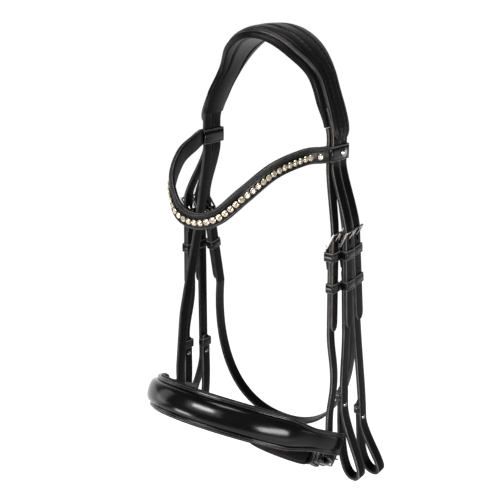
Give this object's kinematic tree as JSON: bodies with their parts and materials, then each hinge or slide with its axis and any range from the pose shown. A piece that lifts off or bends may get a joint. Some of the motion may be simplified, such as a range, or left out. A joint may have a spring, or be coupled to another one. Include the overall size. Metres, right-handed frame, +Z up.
{
  "type": "bridle",
  "caption": "Black padded bridle with a curved stone-set browband, two bit cheekpieces a side, a padded noseband with a chin strap, and a throatlatch.",
  "frame": {"origin": "middle of the underside of the padded crown, where it rests on the poll", "axes": "+Z up, -Y toward the front of the horse's face, +X toward the horse's near (left) side"},
  "size_m": [0.2726, 0.2224, 0.5179],
  "materials": {
    "strap_leather": "satin",
    "lining_leather": "soft",
    "polished_metal": "polished",
    "stone": "cut and polished"
  },
  "bodies": {
    "headstall": {"crown_cover": "strap_leather", "crown_core": "strap_leather", "crown_lining": "lining_leather", "near_noseband_point": "strap_leather", "near_front_point": "strap_leather", "near_rear_point": "strap_leather", "near_throat_point": "strap_leather", "off_front_point": "strap_leather", "off_rear_point": "strap_leather", "off_throat_point": "strap_leather", "near_noseband_buckle": "polished_metal", "near_front_buckle": "polished_metal", "near_rear_buckle": "polished_metal", "near_throat_buckle": "polished_metal", "off_front_buckle": "polished_metal", "off_rear_buckle": "polished_metal", "off_throat_buckle": "polished_metal", "near_front_cheekpiece": "strap_leather", "near_rear_cheekpiece": "strap_leather", "off_front_cheekpiece": "strap_leather", "off_rear_cheekpiece": "strap_leather", "near_noseband_hanger": "strap_leather", "off_noseband_hanger": "strap_leather", "throatlatch": "strap_leather", "noseband_front": "strap_leather", "noseband_lining": "lining_leather", "chin_point": "strap_leather", "chin_strap": "strap_leather", "chin_pad": "lining_leather", "chin_buckle": "polished_metal", "fixed_keepers": "strap_leather", "billet_keepers": "strap_leather", "hook_studs": "polished_metal"},
    "browband_set": {"browband": "strap_leather", "browband_lining": "lining_leather", "near_browband_loop": "strap_leather", "off_browband_loop": "strap_leather", "stone_cups": "polished_metal", "stones": "stone", "loop_studs": "polished_metal"},
    "near_noseband_tongue": {"near_noseband_tongue": "polished_metal"},
    "near_noseband_runner": {"near_noseband_runner": "strap_leather"},
    "near_front_tongue": {"near_front_tongue": "polished_metal"},
    "near_front_runner": {"near_front_runner": "strap_leather"},
    "near_rear_tongue": {"near_rear_tongue": "polished_metal"},
    "near_rear_runner": {"near_rear_runner": "strap_leather"},
    "near_throat_tongue": {"near_throat_tongue": "polished_metal"},
    "near_throat_runner": {"near_throat_runner": "strap_leather"},
    "off_front_tongue": {"off_front_tongue": "polished_metal"},
    "off_front_runner": {"off_front_runner": "strap_leather"},
    "off_rear_tongue": {"off_rear_tongue": "polished_metal"},
    "off_rear_runner": {"off_rear_runner": "strap_leather"},
    "off_throat_tongue": {"off_throat_tongue": "polished_metal"},
    "off_throat_runner": {"off_throat_runner": "strap_leather"},
    "chin_tongue": {"chin_tongue": "polished_metal"},
    "chin_runner": {"chin_runner": "strap_leather"}
  },
  "joints": [
    {"name": "browband_slide", "type": "slide", "parent": "headstall", "child": "browband_set", "axis": [0, 0, 1], "range_m": [-0.003, 0.003]},
    {"name": "near_noseband_tongue_hinge", "type": "hinge", "parent": "headstall", "child": "near_noseband_tongue", "pos_m": [0.10239, -0.032, -0.203], "axis": [0, 0.9998, 0.0175], "range_deg": [0, 20]},
    {"name": "near_noseband_runner_slide", "type": "slide", "parent": "headstall", "child": "near_noseband_runner", "axis": [0, -0.0175, 0.9998], "range_m": [-0.025, 0.012]},
    {"name": "near_front_tongue_hinge", "type": "hinge", "parent": "headstall", "child": "near_front_tongue", "pos_m": [0.10899, -0.016, -0.203], "axis": [0, 0.9981, 0.061], "range_deg": [0, 20]},
    {"name": "near_front_runner_slide", "type": "slide", "parent": "headstall", "child": "near_front_runner", "axis": [0, -0.061, 0.9981], "range_m": [-0.025, 0.012]},
    {"name": "near_rear_tongue_hinge", "type": "hinge", "parent": "headstall", "child": "near_rear_tongue", "pos_m": [0.10549, 0.004, -0.203], "axis": [0, 0.9925, 0.1219], "range_deg": [0, 20]},
    {"name": "near_rear_runner_slide", "type": "slide", "parent": "headstall", "child": "near_rear_runner", "axis": [0, -0.1219, 0.9925], "range_m": [-0.025, 0.012]},
    {"name": "near_throat_tongue_hinge", "type": "hinge", "parent": "headstall", "child": "near_throat_tongue", "pos_m": [0.09199, 0.007, -0.203], "axis": [0, 0.9816, 0.1908], "range_deg": [0, 20]},
    {"name": "near_throat_runner_slide", "type": "slide", "parent": "headstall", "child": "near_throat_runner", "axis": [0, -0.1908, 0.9816], "range_m": [-0.025, 0.012]},
    {"name": "off_front_tongue_hinge", "type": "hinge", "parent": "headstall", "child": "off_front_tongue", "pos_m": [-0.10549, -0.012, -0.203], "axis": [0, -0.9998, 0.0175], "range_deg": [0, 20]},
    {"name": "off_front_runner_slide", "type": "slide", "parent": "headstall", "child": "off_front_runner", "axis": [0, 0.0175, 0.9998], "range_m": [-0.025, 0.012]},
    {"name": "off_rear_tongue_hinge", "type": "hinge", "parent": "headstall", "child": "off_rear_tongue", "pos_m": [-0.10599, 0.008, -0.203], "axis": [0, -1, 0], "range_deg": [0, 20]},
    {"name": "off_rear_runner_slide", "type": "slide", "parent": "headstall", "child": "off_rear_runner", "axis": [0, 0, 1], "range_m": [-0.025, 0.012]},
    {"name": "off_throat_tongue_hinge", "type": "hinge", "parent": "headstall", "child": "off_throat_tongue", "pos_m": [-0.09199, 0.007, -0.203], "axis": [0, -0.9816, -0.1908], "range_deg": [0, 20]},
    {"name": "off_throat_runner_slide", "type": "slide", "parent": "headstall", "child": "off_throat_runner", "axis": [0, -0.1908, 0.9816], "range_m": [-0.025, 0.012]},
    {"name": "chin_tongue_hinge", "type": "hinge", "parent": "headstall", "child": "chin_tongue", "pos_m": [0.08187, -0.00312, -0.46188], "axis": [0, 0.7071, 0.7071], "range_deg": [0, 20]},
    {"name": "chin_runner_slide", "type": "slide", "parent": "headstall", "child": "chin_runner", "axis": [0.7071, -0.5, 0.5], "range_m": [-0.01, 0.007]}
  ]
}
